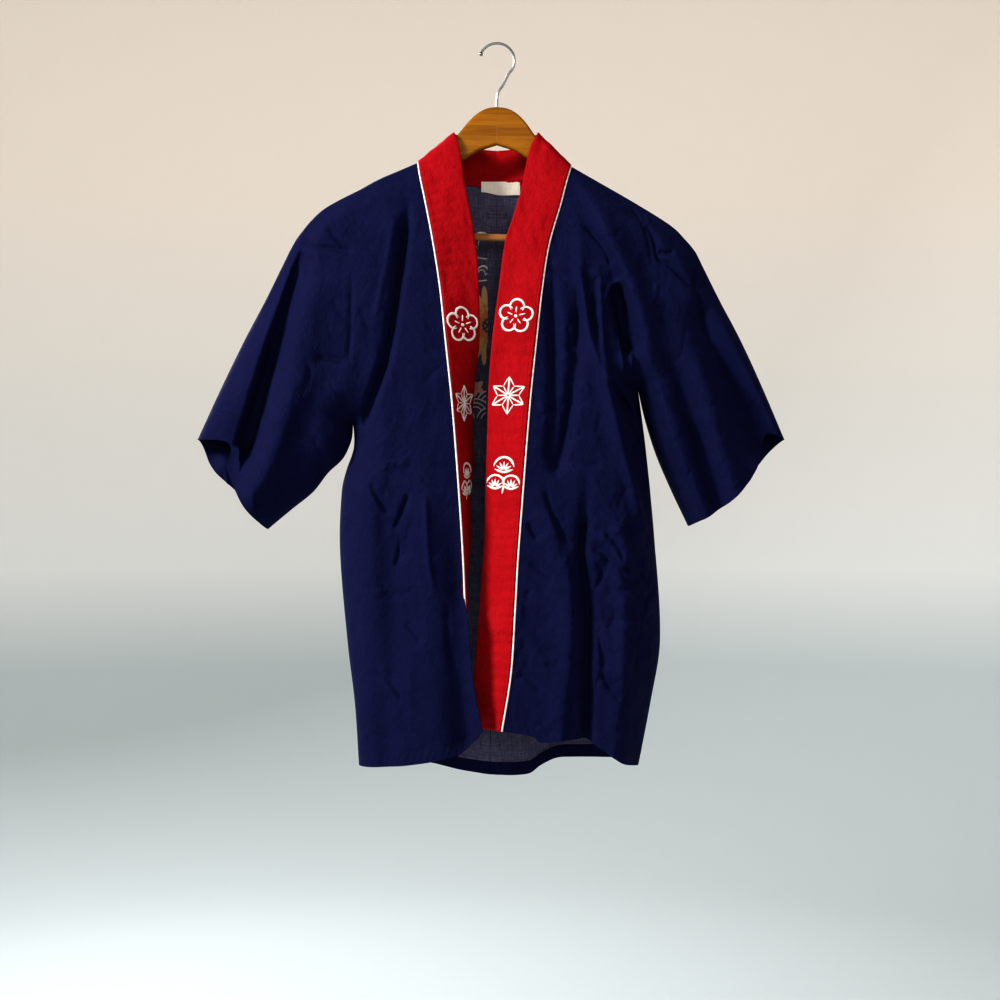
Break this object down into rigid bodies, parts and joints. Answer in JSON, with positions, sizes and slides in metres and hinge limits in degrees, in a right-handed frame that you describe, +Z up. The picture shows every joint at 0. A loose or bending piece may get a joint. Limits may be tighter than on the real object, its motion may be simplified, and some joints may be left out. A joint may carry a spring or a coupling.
{
  "type": "happi coat, a short kimono jacket, on a wooden hanger",
  "caption": "Short navy cotton kimono jacket with a red collar band edged in white, wide half sleeves and open front, hung on a wooden hanger with a wire hook.",
  "frame": {"origin": "underside of the hook's crown, where the rail bears", "axes": "+Z up along the coat's length, -Y out of the coat's front, +X towards the wearer's left sleeve"},
  "size_m": [0.7501, 0.1706, 0.9529],
  "materials": {
    "navy_cotton": "plain woven cotton, matt, lighter wrong side",
    "red_cotton": "plain woven cotton, matt, doubled",
    "white_piping": "corded cotton edge",
    "label_tape": "bare woven label",
    "hanger_wood": "clear lacquered hardwood",
    "bar_wood": "clear lacquered dowel",
    "hook_steel": "bright plated wire"
  },
  "bodies": {
    "root": {"front_left": "navy_cotton", "front_right": "navy_cotton", "back_left": "navy_cotton", "back_right": "navy_cotton", "sleeve_left": "navy_cotton", "sleeve_right": "navy_cotton", "collar": "red_cotton", "piping": "white_piping", "label": "label_tape", "hanger_arm_left": "hanger_wood", "hanger_arm_right": "hanger_wood", "trouser_bar": "bar_wood", "hook": "hook_steel"}
  },
  "joints": []
}
